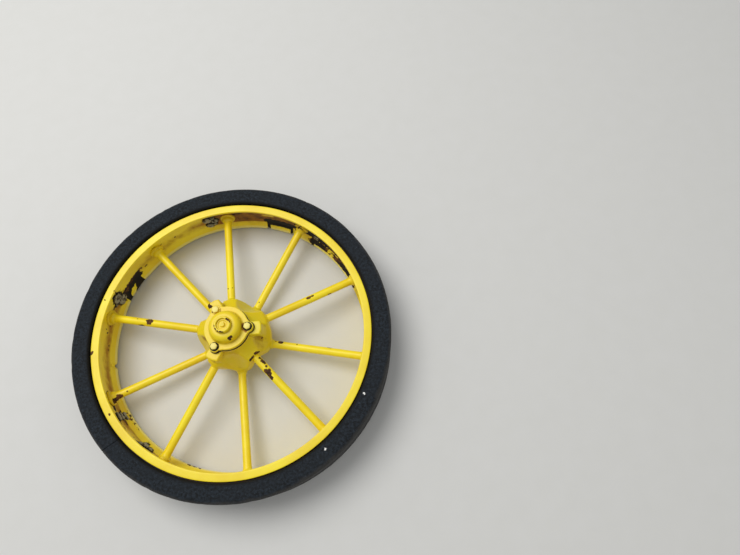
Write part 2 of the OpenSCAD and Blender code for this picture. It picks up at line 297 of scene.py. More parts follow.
def cast_copy(name, nodes, voxel, passes, extra=()):
    """One closed skin over the given CAD nodes and extra meshes, its edges softened as a casting's
    are."""
    soup = bmesh.new()
    for source in [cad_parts[n].data for n in nodes] + list(extra):
        soup.from_mesh(source)
    bmesh.ops.remove_doubles(soup, verts=soup.verts, dist=1e-6)
    mesh = mesh_from(name, soup)
    piece = placed(name, mesh)
    skin = piece.modifiers.new("skin", "REMESH")
    skin.mode = "VOXEL"
    skin.voxel_size = voxel
    skin.use_smooth_shade = True
    soften = piece.modifiers.new("soften", "SMOOTH")
    soften.factor = 0.5
    soften.iterations = passes
    graph = bpy.context.evaluated_depsgraph_get()
    done = bpy.data.meshes.new_from_object(piece.evaluated_get(graph))
    piece.modifiers.clear()
    piece.data = done
    for used in (mesh, *extra):
        bpy.data.meshes.remove(used)
    done.shade_smooth()
    return piece


def paint(piece, **layers):
    """Stores values from 0 to 1 at each vertex for the materials to read."""
    for name, values in layers.items():
        layer = piece.data.attributes.new(name, "FLOAT", "POINT")
        values = np.clip(values, 0, 1) * np.ones(len(piece.data.vertices))
        layer.data.foreach_set("value", values)


# Materials

# Millimetres in a metre, which turn the width of a pattern's grain into its scale
METRE = 1000
# A mix of colours, which go to inputs 6 and 7 and come from output 2
COLOURS = {"out": 2, "data_type": "RGBA"}
# A spread of values from inputs 1 and 2 to inputs 3 and 4, or to 0 and 1, with soft ends
SOFT = {"interpolation_type": "SMOOTHSTEP"}


def node(tree, kind, inputs=(), out=0, ramp=(), **settings):
    """Adds a node with its settings, fills its inputs with values, sRGB hex colours or other
    nodes' outputs, and returns one of its own outputs."""
    made = tree.nodes.new("ShaderNode" + kind)
    for key, value in settings.items():
        setattr(made, key, value)
    for key, value in dict(inputs).items():
        if isinstance(value, bpy.types.NodeSocket):
            tree.links.new(value, made.inputs[key])
        else:
            colour = isinstance(value, str)
            made.inputs[key].default_value = (*linear(value), 1) if colour else value
    if ramp:
        stops = made.color_ramp.elements
        while len(stops) < len(ramp):
            stops.new(0.5)
        for stop, (place, code) in zip(stops, ramp):
            stop.position = place
            stop.color = (*linear(code), 1)
    return made.outputs[out] if made.outputs else made


def start_material(name):
    """A material with an empty tree, the node function for that tree, and the wheel's own
    coordinates."""
    material = bpy.data.materials.new(name)
    material.use_nodes = True
    material.node_tree.nodes.clear()
    add = functools.partial(node, material.node_tree)
    return material, add, add("TexCoord", out="Object")


def stirred(add, name, stir, share):
    """A painted value whose edges wander with the noise, by half the share each way."""
    centred = add("Math", {0: stir, 1: 0.5}, operation="SUBTRACT")
    painted = add("Attribute", out="Fac", attribute_name=name)
    return add("Math", {0: centred, 1: share, 2: painted}, operation="MULTIPLY_ADD")


def surface(add, inputs):
    """Lays the shader with the given inputs on the material's surface."""
    add("OutputMaterial", {"Surface": add("BsdfPrincipled", inputs)})


def enamel(name, bright, deep, sand):
    """Yellow machinery enamel, sprayed over rolled steel or over a sand casting.
    Glossy and slightly rippled, it has chipped down to dark scale and brown rust, and thins
    to an ochre film where soiling and scorching lie on it. The film and the near-black scale also
    carry painted shade in creases and joints, and the pale coat is also a painted highlight along
    the back lip's tip."""
    material, add, place = start_material(name)
    cloudy = add("TexNoise", {"Vector": place, "Scale": METRE / 90, "Detail": 3})
    patchy = add("TexNoise", {"Vector": place, "Scale": METRE / 16, "Detail": 4, "Roughness": 0.6})
    fine = add("TexNoise", {"Vector": place, "Scale": METRE / 2.4, "Detail": 4, "Roughness": 0.6})
    tone = add("Math", {0: cloudy, 1: 0.8}, operation="MULTIPLY")
    tone = add("Math", {0: patchy, 1: 0.2, 2: tone}, operation="MULTIPLY_ADD")
    tone = add("MapRange", {0: tone, 1: 0.3, 2: 0.7}, **SOFT)
    colour = add("Mix", {0: tone, 6: deep, 7: bright}, **COLOURS)
    # Bolt heads have a paler, fresher coat, and on the back lip's tip the same pale colour is a
    # painted highlight
    pale = add("Attribute", out="Fac", attribute_name="pale")
    colour = add("Mix", {0: pale, 6: colour, 7: "#F4EDA0"}, **COLOURS)
    # Soiling and heat, and painted shade in creases and joints: an ochre film, then brown
    dirt_and_shade = stirred(add, "grime", patchy, 0.8)
    film = add("MapRange", {0: dirt_and_shade, 1: 0.1, 2: 0.9}, **SOFT)
    crust = add("MapRange", {0: dirt_and_shade, 1: 0.8, 2: 1.3}, **SOFT)
    colour = add("Mix", {0: film, 6: colour, 7: "#A87C1E"}, blend_type="MULTIPLY", **COLOURS)
    colour = add("Mix", {0: crust, 6: colour, 7: "#3A2308"}, **COLOURS)
    # Chips whose edges wander a few millimetres with the noise
    ragged = add("TexNoise", {"Vector": place, "Scale": METRE / 7, "Detail": 5, "Roughness": 0.62})
    chips = add("MapRange", {0: stirred(add, "wear", ragged, 1.25), 1: 0.46, 2: 0.52}, **SOFT)
    # Sparse pinholes a millimetre or two across, where the surface meets the point in one of
    # every ten cells, which are 18 mm wide
    cell = add("TexVoronoi", {"Vector": place, "Scale": METRE / 18.18})
    dot = add("MapRange", {0: cell, 1: 0.05, 2: 0.035}, **SOFT)
    drawn = add("SeparateColor", {0: cell.node.outputs["Color"]})
    drawn = add("MapRange", {0: drawn, 1: 0.9, 2: 0.91}, **SOFT)
    pits = add("Math", {0: dot, 1: drawn}, operation="MULTIPLY")
    pits = add("Math", {0: pits, 1: 0.7}, operation="MULTIPLY")
    bare = add("Math", {0: chips, 1: pits}, operation="MAXIMUM")
    mottled = add("TexNoise", {"Vector": place, "Scale": METRE / 8, "Detail": 5, "Roughness": 0.7})
    rust = add("ValToRGB", {0: mottled}, ramp=[
        (0.34, "#1A0E07"), (0.47, "#3C220D"), (0.58, "#633C17"), (0.72, "#8A5B24")])
    colour = add("Mix", {0: bare, 6: colour, 7: rust}, **COLOURS)
    # Where it was burnt or rusted through, the scale is almost black, and the same near black is
    # painted shade in the joints at the spoke collars, the gasket and the bolt washers
    burnt_and_shade = add("MapRange", {0: stirred(add, "char", ragged, 0.8), 1: 0.4, 2: 0.56}, **SOFT)
    colour = add("Mix", {0: burnt_and_shade, 6: colour, 7: "#150E0A"}, **COLOURS)
    bare = add("Math", {0: bare, 1: burnt_and_shade}, operation="MAXIMUM")
    # The sprayed coat's orange peel and ripple, and the step down to the bare metal's grain
    peel = add("TexNoise", {"Vector": place, "Scale": METRE / sand})
    ripple = add("TexNoise", {"Vector": place, "Scale": METRE / 11})
    height = add("Math", {0: peel, 1: 0.2}, operation="MULTIPLY")
    height = add("Math", {0: ripple, 1: 0.35, 2: height}, operation="MULTIPLY_ADD")
    step = add("Math", {0: bare, 1: 0.35}, operation="MULTIPLY")
    height = add("Math", {0: height, 1: step}, operation="SUBTRACT")
    pitted = add("Math", {0: fine, 1: bare}, operation="MULTIPLY")
    height = add("Math", {0: pitted, 1: 0.3, 2: height}, operation="MULTIPLY_ADD")
    gloss = add("MapRange", {0: fine, 1: 0.3, 2: 0.7, 3: 0.34, 4: 0.46})
    gloss = add("Math", {0: film, 1: 0.3, 2: gloss}, operation="MULTIPLY_ADD")
    surface(add, {
        "Base Color": colour, "Roughness": add("Mix", {0: bare, 2: gloss, 3: 0.88}), "IOR": 1.47,
        "Normal": add("Bump", {"Height": height, "Strength": 0.35, "Distance": 0.0012}),
    })
    return material


def cut_rubber():
    """Solid press-on rubber, cut and weathered: nearly black with a blue bloom, matt,
    with a pebbled skin and pale road dust on the tread."""
    material, add, place = start_material("solid_rubber_cut_and_weathered")
    cloudy = add("TexNoise", {"Vector": place, "Scale": METRE / 30, "Detail": 4, "Roughness": 0.6})
    pebbled = add("TexNoise", {"Vector": place, "Scale": METRE / 5, "Detail": 4, "Roughness": 0.72})
    # The real grit is finer than the render shows, so it is drawn this coarse
    gritty = add("TexNoise", {"Vector": place, "Scale": METRE / 2.6, "Detail": 3, "Roughness": 0.7})
    share = add("MapRange", {0: pebbled, 1: 0.38, 2: 0.64}, **SOFT)
    colour = add("Mix", {0: share, 6: "#090C0F", 7: "#232B33"}, **COLOURS)
    # Patches, grit and road dust, each up to its greatest share of the colour
    dusty = stirred(add, "grime", cloudy, 1.2)
    for value, low, high, most, code in (
        (cloudy, 0.35, 0.7, 0.5, "#1A1F24"),
        (gritty, 0.58, 0.74, 0.6, "#4C575F"),
        (dusty, 0.2, 1.2, 0.6, "#4A4742"),
    ):
        share = add("MapRange", {0: value, 1: low, 2: high, 4: most}, **SOFT)
        colour = add("Mix", {0: share, 6: colour, 7: code}, **COLOURS)
    # Painted shade: near black along the inner edge, in the groove against the rim
    char = add("Attribute", out="Fac", attribute_name="char")
    colour = add("Mix", {0: char, 6: colour, 7: "#060708"}, **COLOURS)
    speck = add("MapRange", {0: stirred(add, "wear", gritty, 0.8), 1: 0.46, 2: 0.56}, **SOFT)
    colour = add("Mix", {0: speck, 6: colour, 7: "#F4F2EC"}, **COLOURS)
    height = add("Math", {0: gritty, 1: 0.5}, operation="MULTIPLY")
    height = add("Math", {0: pebbled, 1: 0.8, 2: height}, operation="MULTIPLY_ADD")
    surface(add, {
        "Base Color": colour, "IOR": 1.52, "Specular IOR Level": 0.3,
        "Roughness": add("MapRange", {0: gritty, 1: 0.3, 2: 0.7, 3: 0.74, 4: 0.92}),
        "Normal": add("Bump", {"Height": height, "Strength": 0.8, "Distance": 0.002}),
    })
    return material


def weld_metal():
    """Arc weld beads left bare: dull grey scale on the crests, with rust and slag between them.
    The crests' paler grey is also a painted highlight, and the dark between them also painted
    shade.
    """
    material, add, place = start_material("arc_weld_bead_scaled")
    lumpy = add("TexNoise", {"Vector": place, "Scale": METRE / 4, "Detail": 5, "Roughness": 0.7})
    height = add("TexNoise", {"Vector": place, "Scale": METRE / 1.8, "Detail": 4})
    surface(add, {
        "Base Color": add("ValToRGB", {0: stirred(add, "crest", lumpy, 0.9)}, ramp=[
            (0.1, "#140F0A"), (0.34, "#352D20"), (0.62, "#66604C"), (0.95, "#A09A82")]),
        "Roughness": 0.55, "Metallic": 0.3,
        "Normal": add("Bump", {"Height": height, "Strength": 0.6, "Distance": 0.001}),
    })
    return material


def ground_steel():
    """Bearing steel, ground and greased: bright grey with fine rings round the axis and brown
    films of old grease."""
    material, add, place = start_material("bearing_steel_ground_greased")
    film = add("TexNoise", {"Vector": place, "Scale": METRE / 7, "Detail": 3, "Roughness": 0.6})
    brown = add("MapRange", {0: film, 1: 0.42, 2: 0.66}, **SOFT)
    # Real grinding lines are too fine to show, so these lie 1.9635 mm apart. At a scale of 1 the
    # wave has 20 rings to every TAU metres
    rings = add("TexWave", {"Vector": place, "Scale": TAU / 20 * METRE / 1.9635, "Distortion": 0.4},
                out="Fac", wave_type="RINGS", rings_direction="Z")
    surface(add, {
        "Base Color": add("Mix", {0: brown, 6: "#A9A8A4", 7: "#5A4A34"}, **COLOURS),
        "Roughness": add("MapRange", {0: film, 1: 0.4, 2: 0.7, 3: 0.24, 4: 0.5}), "Metallic": 1.0,
        "Normal": add("Bump", {"Height": rings, "Strength": 0.12, "Distance": 0.0002}),
    })
    return material


def oily_fibre():
    """A punched fibre gasket soaked with oil: almost black, matt, with brown fibres."""
    material, add, place = start_material("punched_fibre_oil_soaked")
    fibres = add("TexNoise", {"Vector": place, "Scale": METRE / 2.2, "Detail": 4, "Roughness": 0.7})
    surface(add, {
        "Base Color": add("Mix", {0: fibres, 6: "#120D09", 7: "#34241A"}, **COLOURS),
        "Roughness": 0.7,
        "Normal": add("Bump", {"Height": fibres, "Strength": 0.5, "Distance": 0.0006}),
    })
    return material


def rusted_steel(name, dark, light):
    """Mild steel, rolled or pressed and left bare: brown scale over dark metal."""
    material, add, place = start_material(name)
    scale = add("TexNoise", {"Vector": place, "Scale": METRE / 9, "Detail": 5, "Roughness": 0.7})
    height = add("TexNoise", {"Vector": place, "Scale": METRE / 2, "Detail": 4, "Roughness": 0.7})
    share = add("MapRange", {0: scale, 1: 0.35, 2: 0.7}, **SOFT)
    surface(add, {
        "Base Color": add("Mix", {0: share, 6: dark, 7: light}, **COLOURS),
        "Roughness": add("MapRange", {0: scale, 1: 0.3, 2: 0.7, 3: 0.55, 4: 0.85}),
        "Normal": add("Bump", {"Height": height, "Strength": 0.5, "Distance": 0.0008}),
    })
    return material


def painted_board():
    """Matt pale board for the floor, with the faintest tooth so that it isn't a flat tone."""
    material, add, place = start_material("board_matt_painted")
    tooth = add("TexNoise", {"Vector": place, "Scale": METRE / 40, "Detail": 3})
    colour = add("Mix", {0: tooth, 6: "#D6D5D0", 7: "#DAD9D5"}, **COLOURS)
    surface(add, {"Base Color": colour, "Roughness": 0.95})
    return material


MATERIALS = {}


def one_material(piece, material):
    """Leaves the piece with this material alone."""
    piece.data.materials.clear()
    piece.data.materials.append(material)


def finish_with(piece, material, stands_for):
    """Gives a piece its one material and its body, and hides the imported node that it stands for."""
    one_material(piece, material)
    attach(piece, "wheel")
    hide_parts(stands_for)


def wheel_paint(kind):
    """The enamel of the given kind, made once."""
    if kind not in MATERIALS:
        looks = bpy.context.scene.wheel_looks
        cast = "cast" in kind
        bright = looks.cast_bright if cast else looks.bright
        MATERIALS[kind] = enamel(kind, bright, looks.deep, 3.0 if cast else 5.0)
    return MATERIALS[kind]


# Settings

def metres(name, description, default):
    """A property in metres."""
    return FloatProperty(name=name, description=description, default=default, unit="LENGTH")


class WheelSizes(bpy.types.PropertyGroup):
    """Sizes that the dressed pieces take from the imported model."""
    tyre_radius: metres("Tyre radius", "Outer radius of the rubber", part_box("tyre")[1][0])
    tyre_width: metres("Tyre width", "Width of the rubber, from the floor up",
                       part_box("tyre")[1][2])
    rim_radius: metres("Rim radius", "Outer radius of the rolled rim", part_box("rim")[1][0])
    web_radius: metres("Web radius", "Inner radius of the rim's web, where the spokes end", 0.275)
    lip_radius: metres("Lip radius", "Inner radius of the rim's two lips", 0.2645)
    spoke_radius: metres("Spoke radius", "Radius of the round spokes", 0.008)
    root_radius: metres("Root radius", "Distance from the axis to the spokes' inner ends", 0.050)


class WheelLooks(bpy.types.PropertyGroup):
    """Colours and wear that a user would change."""
    bright: StringProperty(
        name="Bright enamel", description="sRGB hex of the clean enamel", default="#FCE624")
    cast_bright: StringProperty(
        name="Enamel on castings", description="sRGB hex of the clean enamel on the hub and cap",
        default="#E7D51A")
    deep: StringProperty(
        name="Deep enamel", description="sRGB hex of the thinner enamel", default="#EFCF12")
    raggedness: metres("Raggedness", "Depth of the nicks in the tyre's edges", 0.0012)


class StageSettings(bpy.types.PropertyGroup):
    """Floor, lamps and camera."""
    camera_place: FloatVectorProperty(
        name="Camera", description="Place of the camera", size=3,
        default=(0.2655, -0.2911, 1.1350), subtype="TRANSLATION")
    camera_aim: FloatVectorProperty(
        name="Aim", description="Point on the camera's axis", size=3,
        default=(0.2921, 0.0826, 0.05), subtype="TRANSLATION")
    camera_roll: FloatProperty(
        name="Roll", description="Turn of the camera about its own axis",
        default=math.radians(-5.23), subtype="ANGLE")
    lens: FloatProperty(name="Lens", description="Focal length in mm", default=26.17)
    key: FloatProperty(
        name="Key", description="Power of the large soft lamp", default=78.0, subtype="POWER")
    fill: FloatProperty(
        name="Fill", description="Power of the lamp on the other side", default=4.0,
        subtype="POWER")


# Tyre

# Angle in degrees of the joint in the rubber at its inner side, and how far it slants outwards
JOINT = (217.6, 1.3)
# Two white specks on the rubber's face
TYRE_SPECKS = [
    ((243.3, -161.6, 100), (244.3, -162.2, 100), 2.3, 1),
    ((156.9, -250.2, 100), (158.1, -249.4, 100), 2.3, 1),
]


class WHEEL_OT_tyre(bpy.types.Operator):
    """Builds the solid rubber tyre with its worn edges"""
    bl_idname = "wheel.tyre"
    bl_label = "Tyre"

    def execute(self, context):
        sizes = context.scene.wheel_sizes
        depth = context.scene.wheel_looks.raggedness
        outer, wide = sizes.tyre_radius, sizes.tyre_width
        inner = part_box("tyre_band")[1][0]
        # Each corner's radius, height and fillet
        corners = [(inner, 0, 0.002), (outer, 0, 0.009), (outer, wide, 0.009), (inner, wide, 0.004)]
        outline = spaced(rounded(corners), 0.0032)
        # How far in from the tread and from the face the wear reaches
        tread_reach, face_reach = 0.012, 0.02
        # Half the width of the open joint, and its depth
        joint_half, joint_depth = 0.0011, 0.0022

        def worn(angle, radius, height):
            places = round_axis(angle, radius, height)
            slow, quick = waves(places, 0.09, 1), waves(places, 0.014, 2)
            edge = rise(radius, outer - tread_reach, outer)
            top = rise(height, wide - face_reach, wide)
            nick = np.clip(quick - 0.25, 0, 1) * edge * top * 2.2
            radius = radius - edge * depth * (0.7 + 0.5 * slow + 0.2 * quick + nick)
            height = height - top * edge * depth * (0.3 + 0.3 * slow)
            joint = np.radians(JOINT[0] - (radius - inner) / (outer - inner) * JOINT[1])
            gap = peak((angle - joint) * radius, joint_half) * joint_depth
            height = height - gap * top
            radius = radius - gap * edge
            return np.minimum(radius, outer), np.maximum(height, 0)

        piece = ring("tyre_rubber", outline, turns(480, (214, 220, 0.08)), worn)
        places = points_of(piece)
        radius = polar(places)[0]
        # Road dust towards the tread, painted shade darkening the groove at the inner edge, and the
        # white specks
        paint(piece, grime=rise(radius, outer - 0.010, outer - 0.002),
              char=rise(radius, inner + 0.0055, inner + 0.0015),
              wear=nearness(places, TYRE_SPECKS))
        finish_with(piece, cut_rubber(), "tyre")
        return {"FINISHED"}


# Rim

# First and last angle in degrees, and depth, of each stretch that rust has eaten from the back lip
EATEN = [(139.2, 151, 0.12), (71, 72.4, 0.3), (59.3, 60.7, 0.3), (181.2, 183.2, 0.55)]
# Angle in degrees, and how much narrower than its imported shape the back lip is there, in mm
NARROWER = [(54, 0), (60, 2), (90, 3), (96, 4.6), (108, 5.4), (136, 5.6), (139, 7.5), (151, 7.5),
            (158, 4.8), (178, 4.6), (190, 4), (200, 2.5), (214, 1), (226, 0)]


def on_web(rows):
    """Stretches on the web's inner face, from rows of first and last angle, height, half width and
    strength."""
    return stretches([(first, last, 275, *rest) for first, last, *rest in rows])


# Rusted stretches and single chips inside the rim
RIM_WEAR = on_web([
    (57, 90, 40, 4, 0.55), (57, 71, 36, 9, 1), (20, 54, 40, 16, 1.2), (50, 56, 56, 8, 1),
    (136.5, 140, 44, 4, 0.85), (139.5, 144, 40, 8, 1.1), (143.5, 150, 38, 9, 1),
    (154.5, 158, 50, 4, 0.8), (133.5, 134.5, 34, 2, 0.9), (163.5, 166, 44, 2.2, 0.8),
    (173.5, 176, 34, 2.6, 0.8), (-159, -157, 50, 5, 1), (-156.5, -150.5, 30, 7, 0.7),
    (-151.5, -140, 60, 5, 0.95), (-143, -140.5, 45, 3, 0.6), (-139, -134, 32, 8, 0.8),
    (-118, -114, 30, 4, 0.7),
]) + marks([
    (156.4, 274.7, 95, 156.6, 274.7, 95, 1.8, 1), (156, 266.9, 95, 156.3, 266.9, 95, 1.6, 1),
    (151.4, 266, 94, 151.7, 266, 94, 1.3, 0.9), (-153.3, 272, 95, -152.9, 271.5, 95, 2.2, 1.1),
    (179.6, 279, 95, 179.3, 277.5, 95, 3.2, 1.1), (122.5, 275, 58, 122.8, 275, 57, 2.2, 1),
    (115.6, 275, 51, 115.8, 275, 51, 2.2, 1.1), (168.8, 275, 49, 168.6, 275, 47, 1.8, 0.9),
    (167.5, 275, 55, 167.2, 275, 52, 1.6, 0.9),
])
# Paint that still holds between the rusted stretches
RIM_SOUND = on_web([(36, 39, 30, 3, 0.7), (66, 70, 60, 6, 0.6)])
# Rust on the back lip, and the paint that still holds there
LIP_WEAR = stretches([
    (20, 33, 270, 14, 12, 1.2), (33, 41, 270, 14, 10, 0.6), (41, 48, 271, 16, 10, 1.1),
    (181.4, 183, 268, 6, 3, 0.9), (-156, -146, 270, 14, 6, 0.6), (-118, -113, 267, 8, 4, 0.8),
])
LIP_SOUND = marks([(143.4, 274.5, 25, 144.6, 273.5, 20, 1.6, 1.9),
                   (145.6, 274, 17, 147.2, 273, 11, 6.4, 1.9)])
# Scale that is almost black, on the web and on the back lip
RIM_CHAR = on_web([
    (58, 72, 34, 8, 1.1), (83, 87, 64, 4, 0.7), (74, 90, 84, 4, 0.8), (41, 52, 38, 12, 0.95),
    (20, 41, 34, 12, 0.75), (52, 56, 60, 7, 1), (139, 145, 31, 9, 1), (138.6, 141, 44, 4, 0.7),
    (-158.5, -156.8, 50, 4, 0.9), (-154, -145, 66, 3, 0.7),
]) + stretches([(145, 150.5, 274, 27, 5, 0.8)])
LIP_CHAR = stretches([(20, 29, 270, 14, 10, 1), (42, 48, 271, 17, 8, 1),
                      (61, 70.6, 274.5, 24, 4, 1.2), (33, 41, 274, 22, 3, 0.7)])
RIM_GRIME = on_web([
    (95, 136, 44, 14, 0.5), (99, 106, 50, 12, 0.8), (150, 212, 38, 13, 0.75),
    (60, 90, 56, 34, 1.7), (73, 88, 30, 10, 1.7), (16, 60, 40, 26, 1.1), (-150, -95, 30, 12, 0.6),
])
RIM_CLEAN = on_web([(68.5, 73, 60, 5, 1)])
# Spoke number and strength of the painted shade line round the spoke's collar where it meets the
# rim
COLLAR_SHADE_LINES = [(1, 0.5), (2, 1), (8, 0.85), (9, 0.55), (10, 0.5), (7, 0.4)]


def spoke_angle(number):
    """The angle in degrees of spoke number 1 to 10."""
    return 90 - 36 * (number - 1)


class WHEEL_OT_rim(bpy.types.Operator):
    """Builds the rolled steel rim with the breaks that rust has left in its back lip"""
    bl_idname = "wheel.rim"
    bl_label = "Rim"

    def execute(self, context):
        sizes = context.scene.wheel_sizes
        outer, web, lip = sizes.rim_radius, sizes.web_radius, sizes.lip_radius
        low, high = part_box("rim")[0][2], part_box("rim")[1][2]
        # The lips' thickness, and how far in from each face their slopes end on the web
        thick, front_slope, back_slope = 0.005, 0.020, 0.0235
        # What is left of the section where the back lip has gone
        left = 0.0012
        outline = spaced(rounded([
            (outer, high, 0.001), (lip, high, 0.0014), (lip, high - thick, 0.0018),
            (web, high - front_slope, 0.006), (web, low + back_slope, 0.0016),
            (lip, low + thick, 0.0012), (lip, low, 0.0014), (outer, low, 0.002),
        ]), 0.0034)

        def narrower(degrees):
            return np.interp(degrees, *zip(*NARROWER)) * MM

        def worn(angle, radius, height):
            degrees = np.degrees(angle) % 360
            ragged = 0.8 * waves(round_axis(angle, radius, height), 0.006, 4)
            eaten = np.zeros(radius.shape)
            for first, last, depth in EATEN:
                away = past_stretch(degrees, first, last) + ragged
                eaten = np.maximum(eaten, depth * rise(away, 0.5, -0.5))
            back = rise(height, low + 0.026, low + 0.014)
            share = eaten * back * rise(radius, web + 0.003, web)
            radius = radius + share * (outer - left - radius)
            height = height + share * 0.010 * (1 - back * 0.5)
            deep = rise(radius, web, lip) * (height < low + 0.024)
            return radius + deep * narrower(degrees), height

        angles = turns(660, (133, 149, 0.2), (57, 74, 0.2))
        piece = ring("rim_rolled", outline, angles, worn)
        places = points_of(piece)
        push(piece, waves(places, 0.05, 5) * 0.00025)
        radius, degrees = polar(places)
        height = places[:, 2]
        # The back lip and the web rust apart, and meet at a crease
        back = (radius < web - 0.0006) & (height < low + 0.025)
        tip = rise(radius - lip - narrower(degrees), 0.003, 0) * (height < low + 0.008)
        held = 1.3 * tip * (degrees > 19) * (degrees < 47)
        outside = rise(radius, 0.2775, 0.2795) * (height < high - 0.003)
        wear = np.where(back, nearness(places, LIP_WEAR) - nearness(places, LIP_SOUND),
                        nearness(places, RIM_WEAR) - nearness(places, RIM_SOUND))
        wear = np.maximum(wear, 0.25 * tip) - held
        clean = rise(height, high - 0.013, high - 0.019)
        grime = nearness(places, RIM_GRIME) - 1.4 * nearness(places, RIM_CLEAN)
        # Where the lip has gone, what is left of it is black from one cut end to the other
        gap = np.zeros(len(places))
        for first, last, _ in EATEN[:3]:
            gap = np.maximum(gap, 1.3 * rise(past_stretch(degrees, first, last), 0.2, -0.2))
        char = np.where(back, np.maximum(nearness(places, LIP_CHAR), gap)
                        - nearness(places, LIP_SOUND), nearness(places, RIM_CHAR)) - held
        # Painted shade: a dark ring on the web round each listed spoke's collar
        for number, strength in COLLAR_SHADE_LINES:
            end = on_rim(spoke_angle(number), web, sizes.tyre_width / 2)
            away = np.linalg.norm(places - end, axis=1)
            char = np.maximum(char, strength * peak(away - 0.0165, 0.003))
        # Scorched rings round the welds
        burnt_and_shade = marks([(angle, web / MM, level, angle, web / MM, level, size * 1.2, 1)
                       for angle, level, size, _, _ in WELDS])
        # The pale layer paints a highlight along the back lip's tip
        paint(piece, wear=np.maximum(wear, outside * 0.7),
              pale=0.7 * tip * (degrees > 18) * (wear < 0.6),
              grime=grime * np.where(back, 0.25, clean),
              char=np.maximum(char, nearness(places, burnt_and_shade)))
        finish_with(piece, wheel_paint("enamel_sprayed_on_rolled_steel"), "rim")
        return {"FINISHED"}


# Angle in degrees, and height, radius, rise and length round the rim in mm, of each weld
WELDS = [
    (99, 62, 9.5, 7, 0), (98.8, 38, 9.5, 7, 0), (95.9, 52, 8, 5.5, 3), (96.8, 66, 6, 4.5, 0),
    (96.6, 38, 6, 4.5, 2), (152.9, 57, 12, 6.5, 3), (152.2, 37, 12, 7, 3), (155.4, 48, 5.5, 4.5, 3),
    (-153.2, 54, 5, 5, 11), (-153.6, 38.5, 5.2, 5.5, 12), (-154, 22.5, 5, 5, 11),
    (-138.6, 44, 7, 5.5, 2), (-137.2, 33, 7.5, 6, 3), (-135.2, 30, 7, 5, 3), (-138, 21, 6, 4.5, 2),
    (45.4, 47, 6.5, 5, 3), (46.2, 36, 6, 4.5, 3),
    (-42.6, 49, 8, 6, 0), (-41, 53, 7, 5.5, 0),
]


class WHEEL_OT_welds(bpy.types.Operator):
    """Builds the clusters of weld lumps inside the rim"""
    bl_idname = "wheel.welds"
    bl_label = "Welds"

    def execute(self, context):
        web = context.scene.wheel_sizes.web_radius
        # Distance between the beads of a long weld, and how far their middles lie in the web
        spacing, sunk = 0.002, 0.0004
        # Size above which a weld has a crater with a dark ring round it, slag and painted shade
        # together, and the crater's depth
        large, crater_depth = 0.0078, 0.0038
        heap = bmesh.new()
        for angle, height, size, bulge, length in WELDS:
            beads = max(1, round(length / 2))
            for k in range(beads):
                turn = math.radians(angle) + (k - (beads - 1) / 2) * spacing / web
                out = Vector((math.cos(turn), math.sin(turn), 0))
                lump = bmesh.ops.create_icosphere(heap, subdivisions=4, radius=1)
                flat = Matrix.Diagonal((bulge * MM, size * MM, size * MM, 1))
                place = Matrix.Translation(out * (web + sunk) + Vector((0, 0, height * MM)))
                bmesh.ops.transform(heap, verts=lump["verts"],
                                    matrix=place @ Matrix.Rotation(turn, 4, "Z") @ flat)
        piece = cast_copy("weld_lumps", [], 0.0009, 2, [mesh_from("weld_lumps_raw", heap)])
        places = points_of(piece)
        middles = np.array([on_rim(a, web / MM, h) for a, h, *_ in WELDS]) * MM
        sizes = np.array([w[2] for w in WELDS]) * MM
        away = np.linalg.norm(places[:, None] - middles, axis=2) / sizes
        far = away.min(1)
        big = sizes[away.argmin(1)] > large
        crater = peak(far, 0.7) * big * crater_depth
        lumpy = waves(places, 0.008, 3) * 0.0026 + waves(places, 0.0036, 6) * 0.0014
        places = places + normals_of(piece) * (lumpy - crater)[:, None]
        radius = polar(places)[0]
        held = np.minimum(radius, web + 0.001)
        places[:, :2] *= (held / radius)[:, None]
        move_points(piece, places)
        # The scale's and slag's colour with painted light: crests paler as a highlight, hollows and
        # the big craters' rings darker as shade
        crest = rise(held, web, web - 0.0046) - hollows(piece, 14, 0.0006) * 0.9
        crest = crest + waves(places, 0.006, 12) * 0.5 - 0.45 * big * peak(far - 0.48, 0.3)
        paint(piece, crest=crest)
        finish_with(piece, weld_metal(), "rim_welds")
        return {"FINISHED"}


# Spokes

# Where the web and the collar's end lie in the table that follows, in mm
WEB_AT, COLLAR_AT = 225, 226
# Distance along the spoke from its root and radius, in mm
SPOKE_SHAPE = [
    (2, 7.9), (10, 8), (60, 8), (120, 8.05), (180, 8), (200, 8.05), (208, 8.3), (212, 9.1),
    (213.8, 10.6), (214.8, 11.6), (216.2, 12.1), (219.6, 12.2), (220.6, 12.7), (221.2, 14.4),
    (221.9, 15.7), (223, 16), (226, 15.9), (226.2, 6), (230, 6),
]
